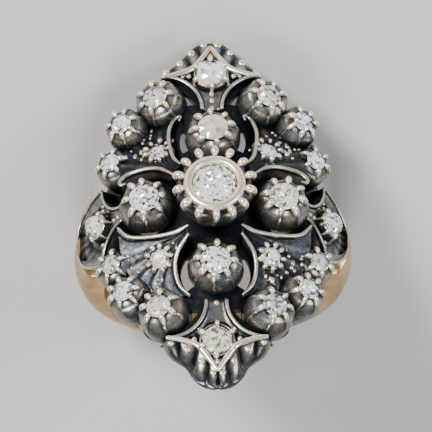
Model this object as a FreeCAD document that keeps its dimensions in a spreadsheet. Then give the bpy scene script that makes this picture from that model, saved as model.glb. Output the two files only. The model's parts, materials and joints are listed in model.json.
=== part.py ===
import FreeCAD, Part
import math
import os
import Sketcher
from FreeCAD import Placement, Rotation, Vector

# Navette ring: a gold finger hoop with a gold backing, and a domed silver head set with 25 stones.
# Ring frame: X across the finger, Y along the finger, Z out of the middle of the head,
# with the axis of the finger hole along Y through the origin. Millimetres and degrees.
# The finished ring is then laid down as it rests by itself.

SIZES = (
    # alias, value, what it is
    ("bore_radius", 8.3, "inside of the finger hoop"),
    ("hoop_radius", 10.6, "outer curve of the hoop"),
    ("hoop_rise", 1.3, "centre of the outer curve above the finger's axis"),
    ("hoop_crown", 3.6, "radius of the domed outside across the band"),
    ("shoulder_width", 5.0, "band where it meets the head"),
    ("back_width", 2.9, "band at the back"),
    ("shoulder_level", 3.4, "height where the gold steps in under the silver"),
    ("backing_level", 6.6, "height where the shoulder thins to the backing"),
    ("seat_radius", 9.3, "gold under the side plates"),
    ("backing_inner", 8.4, "inside of the gold backing"),
    ("backing_outer", 8.8, "outside of the gold backing"),
    ("metal_gap", 0.05, "between gold and silver"),
    ("stone_gap", 0.04, "between a stone and its collet"),
    ("floor_thick", 0.5, "silver floor under the collets"),
    ("tip_under", 8.45, "underside of the silver tips from the finger's axis"),
    ("backing_reach", 10.6, "half length of the gold backing along the finger"),
    ("table_height", 12.9, "table of the centre stone above the finger's axis"),
    ("long_y", 5.76, "large collet along the finger"),
    ("long_drop", 1.37, "its table below the centre's"),
    ("long_lean", 0.05, "its outward lean, rise over run"),
    ("cross_x", 5.31, "large collet across the finger"),
    ("cross_drop", 1.99, "its table below the centre's"),
    ("cross_lean", 0.17, "its lean"),
    ("first_x", 4.41, "outer collet nearest the tip"),
    ("first_y", 9.08, "outer collet nearest the tip"),
    ("first_drop", 2.45, "its table below the centre's"),
    ("first_lean", 0.33, "its lean across"),
    ("second_x", 7.02, "middle outer collet"),
    ("second_y", 7.27, "middle outer collet"),
    ("second_drop", 3.39, "its table below the centre's"),
    ("second_lean", 0.48, "its lean across"),
    ("third_x", 7.91, "outer collet nearest the shoulder"),
    ("third_y", 4.43, "outer collet nearest the shoulder"),
    ("third_drop", 4.41, "its table below the centre's"),
    ("third_lean", 0.52, "its lean across"),
    ("leaf_x", 4.22, "small stone on a leaf"),
    ("leaf_y", 4.67, "small stone on a leaf"),
    ("leaf_drop", 3.23, "its table below the centre's"),
    ("leaf_lean_x", 0.34, "slope of the leaf across"),
    ("leaf_lean_y", 0.27, "slope of the leaf along"),
    ("leaf_rim", 0.26, "width of the raised rim of a leaf"),
    ("leaf_dish", 0.3, "depth inside the rim"),
    ("leaf_arc", 3.0, "hollow side of a leaf round a large collet"),
    ("tip_y", 11.57, "stone in a tip plate"),
    ("tip_drop", 3.13, "its table below the centre's"),
    ("tip_lean", 0.07, "slope of a tip plate"),
    ("side_x", 9.01, "stone in a side plate"),
    ("side_drop", 6.48, "its table below the centre's"),
    ("side_lean", 1.47, "slope of a side plate"),
    ("side_scale", 0.86, "side plate against tip plate"),
    ("plate_neck", 3.3, "neck of a plate inward of its stone"),
    ("plate_neck_half", 0.75, "half width of the neck"),
    ("plate_corner_half", 3.75, "half width at the corners"),
    ("plate_corner_in", 0.2, "corners inward of the stone"),
    ("plate_apex", 2.5, "point of the border outward of the stone"),
    ("plate_arc", 3.0, "hollow side of a plate round an outer collet"),
    ("plate_flare", 0.75, "spread of the gadrooned wall"),
    ("plate_rim", 0.32, "width of the raised border"),
    ("plate_dish", 0.3, "depth inside the border"),
    ("tip_rise", 0.35, "table of the stone above the border of a tip plate"),
    ("side_rise", 0.6, "table of the stone above the border of a side plate"),
    ("claw_long", 0.5, "claw, toward the stone"),
    ("claw_wide", 0.4, "claw, across"),
    ("claw_high", 0.55, "claw"),
    ("granule_radius", 0.3, "granule round the centre stone"),
    ("centre_stone_radius", 1.72, "stone"),
    ("large_stone_radius", 1.2, "stone"),
    ("first_stone_radius", 0.98, "stone"),
    ("second_stone_radius", 0.86, "stone"),
    ("third_stone_radius", 0.8, "stone"),
    ("leaf_stone_radius", 0.82, "stone"),
    ("tip_stone_radius", 1.15, "stone"),
    ("side_stone_radius", 0.98, "stone"),
    ("centre_belly", 2.85, "widest radius of the cup"),
    ("large_belly", 2.12, "widest radius of the cup"),
    ("first_belly", 1.92, "widest radius of the cup"),
    ("second_belly", 1.65, "widest radius of the cup"),
    ("third_belly", 1.52, "widest radius of the cup"),
    ("collet_rim", 0.25, "wall of a collet round its stone"),
    ("collar_wall", 0.5, "smooth collar of the centre stone"),
    ("collar_height", 0.5, "collar above the granules"),
    ("rest_turn", 180.0, "turn about the head's own upright before it is laid down"),
    ("rest_tilt", 53.0, "tilt on to one tip and the back of the hoop"),
    ("rest_reach", 6.52, "finger's axis to the worn flats that the ring lies on"),
)

# Parts of a stone's radius: crown height, table radius, girdle and depth of the pavilion.
CROWN_HEIGHT = 0.24
TABLE_RADIUS = 0.62
GIRDLE = 0.05
PAVILION_DEPTH = 0.62
CULET_RADIUS = 0.12
FACETS = 8
CENTRE_FACETS = 12

OPEN_BACK = 0.4
CUP_SIDES = 12
GRANULE_SIDES = 6
CLAW_COUNT = 8
GRANULE_COUNT = 14
GADROONS = 3
REACH = 16.0

doc = FreeCAD.newDocument("navette_ring")
sheet = doc.addObject("Spreadsheet::Sheet", "sizes")
for row, (alias, value, meaning) in enumerate(SIZES, start=1):
    sheet.set(f"A{row}", meaning)
    sheet.set(f"B{row}", str(value))
    sheet.setAlias(f"B{row}", alias)
doc.recompute()


def size(alias):
    return float(getattr(sheet, alias))


def bind(thing, **expressions):
    """Tie properties of a document object to the sheet."""
    for name, expression in expressions.items():
        thing.setExpression(name, expression)
    return thing


def cell(alias):
    return f"sizes.{alias}"


# Sketch helpers for the hoop

def plane(body, role):
    return next(p for p in body.Origin.OriginFeatures if p.Role == role)


def sketch_on(body, role, name):
    sketch = body.newObject("Sketcher::SketchObject", name)
    sketch.AttachmentSupport = [(plane(body, role), "")]
    sketch.MapMode = "FlatFace"
    return sketch


def held_polygon(sketch, corners):
    """Closed outline whose corners are held by pairs of sheet expressions."""
    points = [Vector(x, y, 0) for x, y, _, _ in corners]
    first = sketch.GeometryCount
    count = len(points)
    for i, point in enumerate(points):
        sketch.addGeometry(Part.LineSegment(point, points[(i + 1) % count]), False)
    for i in range(count):
        sketch.addConstraint(Sketcher.Constraint("Coincident", first + i, 2, first + (i + 1) % count, 1))
    for i, (x, y, x_rule, y_rule) in enumerate(corners):
        hold_point(sketch, first + i, x, y, x_rule, y_rule)


def hold_point(sketch, edge, x, y, x_rule, y_rule):
    for kind, value, rule in (("DistanceX", x, x_rule), ("DistanceY", y, y_rule)):
        index = sketch.addConstraint(Sketcher.Constraint(kind, -1, 1, edge, 1, value))
        sketch.setExpression(f"Constraints[{index}]", rule)


# Hoop

def make_hoop():
    body = doc.addObject("PartDesign::Body", "hoop")
    half = size("shoulder_width") / 2
    crown = size("hoop_crown")
    radius = size("hoop_radius")
    edge_x = radius - crown + math.sqrt(crown ** 2 - half ** 2)
    band = sketch_on(body, "XY_Plane", "band_section")
    bind(band, **{".AttachmentOffset.Base.z": cell("hoop_rise")})
    swing = math.asin(half / crown)
    middle = Vector(radius - crown, 0, 0)
    circle = Part.Circle(middle, Vector(0, 0, 1), crown)
    band.addGeometry(Part.LineSegment(Vector(0, -half, 0), Vector(edge_x, -half, 0)), False)
    band.addGeometry(Part.ArcOfCircle(circle, -swing, swing), False)
    band.addGeometry(Part.LineSegment(Vector(edge_x, half, 0), Vector(0, half, 0)), False)
    band.addGeometry(Part.LineSegment(Vector(0, half, 0), Vector(0, -half, 0)), False)
    for a, a_end, b, b_end in ((0, 2, 1, 1), (1, 2, 2, 1), (2, 2, 3, 1), (3, 2, 0, 1)):
        band.addConstraint(Sketcher.Constraint("Coincident", a, a_end, b, b_end))
    band.addConstraint(Sketcher.Constraint("Horizontal", 0))
    band.addConstraint(Sketcher.Constraint("Horizontal", 2))
    band.addConstraint(Sketcher.Constraint("PointOnObject", 1, 3, -1))
    band.addConstraint(Sketcher.Constraint("PointOnObject", 3, 1, -2))
    band.addConstraint(Sketcher.Constraint("Symmetric", 3, 1, 3, 2, -1))
    width = band.addConstraint(Sketcher.Constraint("DistanceY", 3, 2, 3, 1, 2 * half))
    dome = band.addConstraint(Sketcher.Constraint("Radius", 1, crown))
    reach = band.addConstraint(Sketcher.Constraint("DistanceX", -1, 1, 1, 3, radius - crown))
    bind(band, **{f"Constraints[{width}]": cell("shoulder_width"),
                  f"Constraints[{dome}]": cell("hoop_crown"),
                  f"Constraints[{reach}]": f"{cell('hoop_radius')} - {cell('hoop_crown')}"})
    blank = body.newObject("PartDesign::Revolution", "hoop_blank")
    blank.Profile = band
    blank.ReferenceAxis = (band, ["V_Axis"])
    blank.Angle = 360
    doc.recompute()
    for name, role, draw in (("finger_hole", "XZ_Plane", draw_finger_hole),
                             ("taper", "YZ_Plane", draw_taper),
                             ("shoulder_seat", "XZ_Plane", draw_shoulder_seat),
                             ("backing_seat", "XZ_Plane", draw_backing_seat)):
        cut_through(body, name, role, draw)
    return body


def cut_through(body, name, role, draw):
    before = body.Shape.Volume
    sketch = sketch_on(body, role, f"{name}_sketch")
    draw(sketch)
    pocket = body.newObject("PartDesign::Pocket", name)
    pocket.Profile = sketch
    pocket.Type = "ThroughAll"
    pocket.Midplane = True
    doc.recompute()
    assert body.Shape.Volume < before - 1, f"{name} cut nothing"


def draw_finger_hole(sketch):
    sketch.addGeometry(Part.Circle(Vector(0, 0, 0), Vector(0, 0, 1), size("bore_radius")), False)
    sketch.addConstraint(Sketcher.Constraint("Coincident", 0, 3, -1, 1))
    radius = sketch.addConstraint(Sketcher.Constraint("Radius", 0, size("bore_radius")))
    bind(sketch, **{f"Constraints[{radius}]": cell("bore_radius")})


def draw_taper(sketch):
    """Waste on both sides of the band, which narrows evenly from the shoulders to the back."""
    low = -size("hoop_radius")
    high = size("shoulder_level")
    wide = size("shoulder_width") / 2
    thin = size("back_width") / 2
    for side in (1, -1):
        held_polygon(sketch, (
            (side * thin, low, f"{side} * {cell('back_width')} / 2", f"-{cell('hoop_radius')}"),
            (side * wide, high, f"{side} * {cell('shoulder_width')} / 2", cell("shoulder_level")),
            (side * 2 * wide, high, f"{side} * {cell('shoulder_width')}", cell("shoulder_level")),
            (side * 2 * wide, low, f"{side} * {cell('shoulder_width')}", f"-{cell('hoop_radius')}"),
        ))


def draw_step(sketch, radius_alias, level_alias):
    """Waste above a level and outside a circle round the finger."""
    radius = size(radius_alias)
    level = size(level_alias)
    across = math.sqrt(radius ** 2 - level ** 2)
    start = math.atan2(level, across)
    circle = Part.Circle(Vector(0, 0, 0), Vector(0, 0, 1), radius)
    sketch.addGeometry(Part.ArcOfCircle(circle, start, math.pi - start), False)
    path = (Vector(-across, level, 0), Vector(-REACH, level, 0), Vector(-REACH, REACH, 0),
            Vector(REACH, REACH, 0), Vector(REACH, level, 0), Vector(across, level, 0))
    for a, b in zip(path, path[1:]):
        sketch.addGeometry(Part.LineSegment(a, b), False)
    for i in range(5):
        sketch.addConstraint(Sketcher.Constraint("Coincident", i, 2, i + 1, 1))
    sketch.addConstraint(Sketcher.Constraint("Coincident", 5, 2, 0, 1))
    sketch.addConstraint(Sketcher.Constraint("Coincident", 0, 3, -1, 1))
    for line in (1, 5):
        sketch.addConstraint(Sketcher.Constraint("Horizontal", line))
    for line in (2, 4):
        sketch.addConstraint(Sketcher.Constraint("Vertical", line))
    sketch.addConstraint(Sketcher.Constraint("Symmetric", 2, 2, 4, 1, -2))
    sketch.addConstraint(Sketcher.Constraint("DistanceX", -1, 1, 4, 1, REACH))
    sketch.addConstraint(Sketcher.Constraint("DistanceY", -1, 1, 4, 1, REACH))
    round_to = sketch.addConstraint(Sketcher.Constraint("Radius", 0, radius))
    step_at = sketch.addConstraint(Sketcher.Constraint("DistanceY", -1, 1, 0, 1, level))
    other_at = sketch.addConstraint(Sketcher.Constraint("DistanceY", -1, 1, 0, 2, level))
    bind(sketch, **{f"Constraints[{round_to}]": cell(radius_alias),
                    f"Constraints[{step_at}]": cell(level_alias),
                    f"Constraints[{other_at}]": cell(level_alias)})


def draw_shoulder_seat(sketch):
    draw_step(sketch, "seat_radius", "shoulder_level")


def draw_backing_seat(sketch):
    draw_step(sketch, "backing_outer", "backing_level")


# Stones

def facet_ring(name, facets, radius_rule, height_rule):
    ring = doc.addObject("Part::RegularPolygon", name)
    ring.Polygon = facets
    return bind(ring, Circumradius=radius_rule, **{".Placement.Base.z": height_rule})


def stone_rings(kind):
    """Culet, girdle and table outlines of one size of stone, with the table at zero height."""
    radius = cell(f"{kind}_stone_radius")
    facets = CENTRE_FACETS if kind == "centre" else FACETS
    girdle_top = f"-{CROWN_HEIGHT} * {radius}"
    girdle_foot = f"-{CROWN_HEIGHT + GIRDLE} * {radius}"
    culet = f"-{CROWN_HEIGHT + GIRDLE + PAVILION_DEPTH} * {radius}"
    return [facet_ring(f"{kind}_culet", facets, f"{CULET_RADIUS} * {radius}", culet),
            facet_ring(f"{kind}_girdle_foot", facets, radius, girdle_foot),
            facet_ring(f"{kind}_girdle_top", facets, radius, girdle_top),
            facet_ring(f"{kind}_table", facets, f"{TABLE_RADIUS} * {radius}", "0")]


def make_stone(name, rings, seat):
    stone = doc.addObject("Part::Loft", name)
    stone.Label = name
    stone.Sections = rings
    stone.Solid = True
    stone.Ruled = True
    stone.Placement = seat
    return stone


# Where every setting sits

def seat_at(x, y, drop, lean_x=0.0, lean_y=0.0, outward=Vector(0, 1, 0)):
    """Frame of a setting: origin in the table of its stone, Z out of the metal, Y outward."""
    normal = Vector(lean_x, lean_y, 1).normalize()
    across = outward.cross(normal).normalize()
    turn = Rotation(across, outward, normal, "ZXY")
    return Placement(Vector(x, y, size("table_height") - drop), turn)


def quadrants():
    for along, long_name in ((1, "top"), (-1, "bottom")):
        for across, cross_name in ((-1, "left"), (1, "right")):
            yield across, along, f"{long_name}_{cross_name}"


def settings():
    """Name, kind and frame of the 25 settings."""
    yield "centre_stone", "centre", seat_at(0, 0, 0)
    for along, name in ((1, "top"), (-1, "bottom")):
        outward = Vector(0, along, 0)
        yield (f"long_stone_{name}", "large",
               seat_at(0, along * size("long_y"), size("long_drop"), 0, along * size("long_lean"), outward))
        yield (f"tip_stone_{name}", "tip",
               seat_at(0, along * size("tip_y"), size("tip_drop"), 0, along * size("tip_lean"), outward))
    for across, name in ((-1, "left"), (1, "right")):
        outward = Vector(across, 0, 0)
        yield (f"cross_stone_{name}", "large",
               seat_at(across * size("cross_x"), 0, size("cross_drop"), across * size("cross_lean"), 0, outward))
        yield (f"side_stone_{name}", "side",
               seat_at(across * size("side_x"), 0, size("side_drop"), across * size("side_lean"), 0, outward))
    for across, along, name in quadrants():
        yield (f"leaf_stone_{name}", "leaf",
               seat_at(across * size("leaf_x"), along * size("leaf_y"), size("leaf_drop"),
                       across * size("leaf_lean_x"), along * size("leaf_lean_y")))
        for number, kind in enumerate(("first", "second", "third"), start=1):
            yield (f"outer_stone_{name}_{number}", kind,
                   seat_at(across * size(f"{kind}_x"), along * size(f"{kind}_y"), size(f"{kind}_drop"),
                           across * size(f"{kind}_lean")))


# Collets

# Outline of a collet's wall: share of its belly, and drop below the rim as a share of the belly
COLLET_WALL = ((0.88, 0.25), (1.0, 0.62), (0.9, 0.95), (0.66, 1.2))
# Outline of the centre cup's wall: share of its belly, and drop below the collar in mm
CENTRE_WALL = ((0.93, 0.02), (1.0, 0.5), (0.93, 1.3), (0.7, 2.2))
COLLAR_FLARE = 0.08
TIP_CLAWS = 6
LEAF_CLAWS = 7


def facet_solid(bands, sides):
    """Flat-sided round solid through (circumradius, height) rings going down."""
    rings = []
    for radius, height in bands:
        turns = [2 * math.pi * (i + 0.5) / sides for i in range(sides)]
        rings.append([Vector(radius * math.cos(turn), radius * math.sin(turn), height) for turn in turns])
    faces = [flat_face(rings[0]), flat_face(rings[-1])]
    for upper, lower in zip(rings, rings[1:]):
        for i in range(sides):
            j = (i + 1) % sides
            faces.append(flat_face([upper[i], upper[j], lower[j], lower[i]]))
    return Part.makeSolid(Part.makeShell(faces))


def flat_face(points):
    return Part.Face(Part.makePolygon(points + points[:1]))


def cup(kind, bands):
    """Cup of one size with a stem to the floor, kept in the document as a pattern for its copies."""
    foot = bands[-1][0]
    pattern = doc.addObject("Part::Feature", f"{kind}_cup")
    pattern.Shape = facet_solid(bands + [(foot, -size("table_height"))], CUP_SIDES)
    return pattern.Shape


def collet_bands(kind):
    stone = size(f"{kind}_stone_radius")
    belly = size(f"{kind}_belly")
    rim = -CROWN_HEIGHT * stone
    wall = [(share * belly, rim - drop * belly) for share, drop in COLLET_WALL]
    return [(stone + size("collet_rim"), rim)] + wall


def centre_bands():
    belly = size("centre_belly")
    collar = size("centre_stone_radius") + size("collar_wall")
    high = size("collar_height")
    wall = [(share * belly, -high - drop) for share, drop in CENTRE_WALL]
    return [(collar, 0), (collar + COLLAR_FLARE, -high)] + wall


def claw_solid():
    """Tapered claw with its foot at zero height, leaning over the stone."""
    claw = doc.addObject("Part::Wedge", "claw")
    bind(claw, Xmin="0", Ymin="0", Zmin="0", Xmax=cell("claw_long"), Ymax=cell("claw_high"),
         Zmax=cell("claw_wide"), X2min="0", X2max=f"0.55 * {cell('claw_long')}",
         Z2min=f"0.25 * {cell('claw_wide')}", Z2max=f"0.75 * {cell('claw_wide')}")
    claw.Placement = Placement(Vector(0, size("claw_wide") / 2, 0), Rotation(Vector(1, 0, 0), 90))
    doc.recompute()
    return claw.Shape


def granule_solid():
    radius = size("granule_radius")
    granule = doc.addObject("Part::Feature", "granule")
    granule.Shape = facet_solid([(0.55 * radius, 1.5 * radius), (radius, radius), (radius, 0)], GRANULE_SIDES)
    return granule.Shape


def ring_of(shape, count, radius, height, turn=0.0):
    """Copies of a shape evenly round the Z axis."""
    copies = []
    for i in range(count):
        item = shape.copy()
        item.translate(Vector(radius, 0, height))
        item.rotate(Vector(0, 0, 0), Vector(0, 0, 1), turn + 360.0 * i / count)
        copies.append(item)
    return copies


def claw_ring(claw, kind, count=CLAW_COUNT):
    stone = size(f"{kind}_stone_radius")
    foot = -CROWN_HEIGHT * stone - 0.6 * size("claw_high")
    return ring_of(claw, count, stone + size("stone_gap"), foot, 180.0 / count)


def stone_room(kind):
    """Seat of a stone and the open back behind it."""
    flats = 1 / math.cos(math.pi / CUP_SIDES)
    stone = (size(f"{kind}_stone_radius") + size("stone_gap")) * flats
    girdle = -(CROWN_HEIGHT + GIRDLE) * stone - size("stone_gap")
    back = OPEN_BACK * stone
    foot = girdle - 0.8 * PAVILION_DEPTH * stone
    return facet_solid([(stone, 2), (stone, girdle), (back, foot), (back, foot - REACH / 2)], CUP_SIDES)


# Plates at the two tips and over the two shoulders

SKIRT_DROP = 0.75
GADROON_WIDE = 0.55
APEX_WIDE = 0.8
GADROON_LONG = 1.5
GADROON_TOP = 0.1
GADROON_SET_IN = 0.3
APEX_SET_IN = 0.45


def plate_outline(grow=0.0, inset=0.0):
    """Plan of a pointed plate round its stone, Y outward: neck, hollow sides, corners and point."""
    neck_y = -size("plate_neck") + inset
    neck_x = size("plate_neck_half") - inset
    corner_x = size("plate_corner_half") - 1.8 * inset + grow
    corner_y = -size("plate_corner_in") - 0.4 * inset + 0.3 * grow
    apex_y = size("plate_apex") - 1.6 * inset + 1.2 * grow
    bow = hollow_point(neck_x, neck_y, corner_x, corner_y)
    edges = [Part.Arc(Vector(neck_x, neck_y, 0), bow, Vector(corner_x, corner_y, 0)).toShape(),
             Part.LineSegment(Vector(corner_x, corner_y, 0), Vector(0, apex_y, 0)).toShape(),
             Part.LineSegment(Vector(0, apex_y, 0), Vector(-corner_x, corner_y, 0)).toShape(),
             Part.Arc(Vector(-corner_x, corner_y, 0), Vector(-bow.x, bow.y, 0),
                      Vector(-neck_x, neck_y, 0)).toShape(),
             Part.LineSegment(Vector(-neck_x, neck_y, 0), Vector(neck_x, neck_y, 0)).toShape()]
    return Part.Wire(edges)


def hollow_point(x0, y0, x1, y1):
    """Middle of the arc that bends in toward the stone between two points."""
    chord = Vector(x1 - x0, y1 - y0, 0)
    radius = size("plate_arc")
    half = chord.Length / 2
    sag = radius - math.sqrt(max(radius ** 2 - half ** 2, 0.0))
    side = Vector(-chord.y, chord.x, 0).normalize()
    return Vector((x0 + x1) / 2, (y0 + y1) / 2, 0) + side * sag


def plate(claw, kind, rise, scale):
    """Pointed plate: bordered and dished top, gadrooned outer walls and claws round the stone."""
    top = -rise
    body = Part.Face(plate_outline()).extrude(Vector(0, 0, -REACH / 4))
    dish = Part.Face(plate_outline(inset=size("plate_rim"))).extrude(Vector(0, 0, 1))
    dish.translate(Vector(0, 0, -size("plate_dish")))
    skirt = Part.Face(plate_outline(grow=0.5 * size("plate_flare"))).extrude(Vector(0, 0, -REACH / 4))
    skirt.translate(Vector(0, 0, -SKIRT_DROP))
    corner = Vector(size("plate_corner_half"), -size("plate_corner_in"), 0)
    apex = Vector(0, size("plate_apex"), 0)
    walls = [skirt, gadroon(apex - Vector(0, APEX_SET_IN, 0), Vector(0, 1, 0), APEX_WIDE)]
    for side in (1, -1):
        walls += gadroons(Vector(side * corner.x, corner.y, 0), apex)
    body = body.cut(dish)
    stone = size(f"{kind}_stone_radius")
    rim = -CROWN_HEIGHT * stone
    block = facet_solid([(stone + size("collet_rim"), rim), (1.4 * stone, top - 0.6)], CUP_SIDES)
    parts = [body] + walls
    for part in parts:
        part.scale(scale)
        part.translate(Vector(0, 0, top))
    return parts + [block] + claw_ring(claw, kind, TIP_CLAWS)


def gadroons(corner, apex):
    """Flutes down the outer wall from a corner to the point, spreading toward the foot."""
    run = apex - corner
    out = Vector(run.y, -run.x, 0).normalize()
    if out.dot(corner + apex) < 0:
        out = -out
    lobes = []
    for i in range(GADROONS):
        top = corner + run * ((i + 0.5) / GADROONS) - out * GADROON_SET_IN
        lobes.append(gadroon(top, out, GADROON_WIDE))
    return lobes


def gadroon(top, out, radius):
    """One flute from under the border outward and down."""
    top = Vector(top.x, top.y, -GADROON_TOP)
    foot = top + out * size("plate_flare") - Vector(0, 0, GADROON_LONG)
    lobe = facet_solid([(0.6 * radius, (top - foot).Length), (0.95 * radius, 0.9), (radius, 0)], GRANULE_SIDES)
    lobe.Placement = Placement(foot, Rotation(Vector(0, 0, 1), top - foot))
    return lobe


# Leaves

LEAF_OUTLINE = (
    # x, y in the upper right quadrant
    (1.3, 1.3), (1.3, 8.0), (2.3, 8.0), (3.6, 8.3), (6.3, 7.2), (7.2, 4.6), (7.7, 2.2), (7.4, 1.3),
)
CENTRE_ROOM = 2.6
LEAF_LIFT = 0.25


def prism(corners, low, high):
    points = [Vector(x, y, low) for x, y in corners]
    return Part.Face(Part.makePolygon(points + points[:1])).extrude(Vector(0, 0, high - low))


def post(x, y, radius, low=0.0, high=REACH):
    return Part.makeCylinder(radius, high - low, Vector(x, y, low))


def leaf(claw):
    """Leaf of the upper right quadrant: hollow sides round two large collets, raised rims, dished top."""
    rim = size("leaf_rim")
    arc = size("leaf_arc")
    seat = seat_at(size("leaf_x"), size("leaf_y"), size("leaf_drop"), size("leaf_lean_x"), size("leaf_lean_y"))
    block = prism(LEAF_OUTLINE, 0, REACH)
    block = block.cut([post(0, size("long_y"), arc), post(size("cross_x"), 0, arc), post(0, 0, CENTRE_ROOM)])
    above = Part.makeBox(REACH, REACH, REACH, Vector(-REACH / 2, -REACH / 2, LEAF_LIFT))
    above.Placement = seat.multiply(above.Placement)
    dish = prism(LEAF_OUTLINE, 0, REACH).cut([post(0, size("long_y"), arc + rim),
                                              post(size("cross_x"), 0, arc + rim), post(0, 0, CENTRE_ROOM + rim)])
    below = Part.makeBox(REACH, REACH, REACH, Vector(-REACH / 2, -REACH / 2, LEAF_LIFT - size("leaf_dish")))
    below.Placement = seat.multiply(below.Placement)
    block = block.cut([above, dish.common(below)])
    stone = size("leaf_stone_radius")
    rim = -CROWN_HEIGHT * stone
    low_cup = facet_solid([(stone + 0.2, rim), (1.35 * stone, rim - 0.9)], GRANULE_SIDES)
    trim = [low_cup] + claw_ring(claw, "leaf", LEAF_CLAWS)
    for item in trim:
        item.Placement = seat.multiply(item.Placement)
    return [block] + trim


# Floor, openings and the finger's room

FLOOR_OUTLINE = (
    # x, y in the upper right quadrant, from the tip to the shoulder
    (0.0, 12.8), (3.6, 11.0), (5.0, 10.2), (7.2, 8.3), (7.9, 6.0), (7.9, 3.6), (8.3, 2.4), (8.7, 0.0),
)


BACKING_INSET = 0.35
SHELL_FOOT = 3.0


def lozenge(outline, shrink=0.0):
    """Whole outline from one quadrant, drawn in by an even amount."""
    quarter = [(max(x - shrink, 0.0), max(y - shrink, 0.0)) for x, y in outline]
    right = quarter + [(x, -y) for x, y in reversed(quarter[:-1])]
    left = [(-x, y) for x, y in reversed(right[1:-1])]
    return right + left


def finger_log(radius, half_length=2 * REACH):
    """Cylinder along the finger."""
    return Part.makeCylinder(radius, 2 * half_length, Vector(0, -half_length, 0), Vector(0, 1, 0))


def curved_plate(inner, outer, corners):
    shell = finger_log(outer).cut(finger_log(inner))
    return shell.common(prism(corners, SHELL_FOOT, REACH))


# Pierced gaps
GAP_FOOT = 0.62
GAP_REACH_ALONG = 7.7
GAP_REACH_ACROSS = 7.0
CENTRE_FOOT = 2.3
OUT_OF_HOOP = 4.0
TIP_GAP = ((1.1, 8.5), (2.4, 8.2), (2.2, 10.0))


def gap_ring(x, y, outer, inner):
    return post(x, y, outer, OUT_OF_HOOP).cut(post(x, y, inner, OUT_OF_HOOP - 1))


def openings():
    """Pierced gaps: beside the four large collets and inside the outer collets nearest the tips."""
    outer = size("leaf_arc") - size("metal_gap")
    foot = GAP_FOOT * size("large_belly")
    bridge = size("plate_neck_half")
    span = REACH - bridge
    centre = post(0, 0, CENTRE_FOOT)
    holes = []
    for across, along, _ in quadrants():
        ring = gap_ring(0, along * size("long_y"), outer, foot)
        side = Part.makeBox(span, GAP_REACH_ALONG, REACH,
                            Vector(min(across * bridge, across * REACH), min(along * GAP_REACH_ALONG, 0), 0))
        holes.append(ring.common(side).cut(centre))
        ring = gap_ring(across * size("cross_x"), 0, outer, foot)
        side = Part.makeBox(GAP_REACH_ACROSS, span, REACH,
                            Vector(min(across * GAP_REACH_ACROSS, 0), min(along * bridge, along * REACH), 0))
        holes.append(ring.common(side).cut(centre))
        holes.append(prism([(across * x, along * y) for x, y in TIP_GAP], OUT_OF_HOOP, REACH))
    return holes


def finger_room():
    """Everything the silver leaves to the finger, the gold backing and the gold shoulders."""
    gap = size("metal_gap")
    backing = finger_log(size("backing_outer") + gap, size("backing_reach") + 0.3)
    shoulder = finger_log(size("seat_radius") + gap, size("shoulder_width") / 2 + gap)
    shoulder = shoulder.cut(Part.makeBox(4 * REACH, 4 * REACH, 2 * REACH,
                                         Vector(-2 * REACH, -2 * REACH, size("backing_level") + gap)))
    lower = Part.makeBox(4 * REACH, 4 * REACH, 2 * REACH,
                         Vector(-2 * REACH, -2 * REACH, size("shoulder_level") + gap - 2 * REACH))
    return [finger_log(size("tip_under")), backing, shoulder, lower] + worn_flats()


def worn_flats():
    """What wear has taken off where the ring lies, on either side."""
    tilt = math.radians(size("rest_tilt"))
    flats = []
    for along in (1, -1):
        down = Vector(0, along * math.sin(tilt), -math.cos(tilt))
        block = Part.makeBox(4 * REACH, 4 * REACH, REACH, Vector(-2 * REACH, -2 * REACH, size("rest_reach")))
        aim = Placement(Vector(0, 0, 0), Rotation(Vector(0, 0, 1), down))
        block.Placement = aim.multiply(block.Placement)
        flats.append(block)
    return flats


# The two metal pieces

GRANULE_SET_IN = 0.15
GRANULE_DROP = 0.2


def make_head(holes):
    """Silver head: floor, cups, claws, leaves and plates soldered into one."""
    claw = claw_solid()
    granule = granule_solid()
    cups = {"centre": cup("centre", centre_bands())}
    for kind in ("large", "first", "second", "third"):
        cups[kind] = cup(kind, collet_bands(kind))
    pieces = []
    rooms = []
    for _, kind, seat in settings():
        group = setting_pieces(kind, cups, claw, granule)
        for item in group + [stone_room(kind)]:
            item.Placement = seat.multiply(item.Placement)
            pieces.append(item)
        rooms.append(pieces.pop())
    for across, along, _ in quadrants():
        pieces += [into_quadrant(item, across, along) for item in leaf(claw)]
    inner = size("backing_outer") + size("metal_gap")
    floor = curved_plate(inner, inner + size("floor_thick"), lozenge(FLOOR_OUTLINE)).cut(holes)
    whole = floor.fuse(pieces).cut(rooms + finger_room())
    head = doc.addObject("Part::Feature", "head")
    head.Label = "head"
    head.Shape = whole
    return head


def setting_pieces(kind, cups, claw, granule):
    if kind == "centre":
        granules = ring_of(granule, GRANULE_COUNT, size("centre_belly") - GRANULE_SET_IN,
                           -size("collar_height") - GRANULE_DROP)
        return [cups[kind].copy()] + granules
    if kind in cups:
        return [cups[kind].copy()] + claw_ring(claw, kind)
    if kind == "tip":
        return plate(claw, kind, size("tip_rise"), 1.0)
    if kind == "side":
        return plate(claw, kind, size("side_rise"), size("side_scale"))
    return []


def into_quadrant(item, across, along):
    if across < 0:
        item = item.mirror(Vector(0, 0, 0), Vector(1, 0, 0))
    if along < 0:
        item = item.mirror(Vector(0, 0, 0), Vector(0, 1, 0))
    return item


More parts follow.
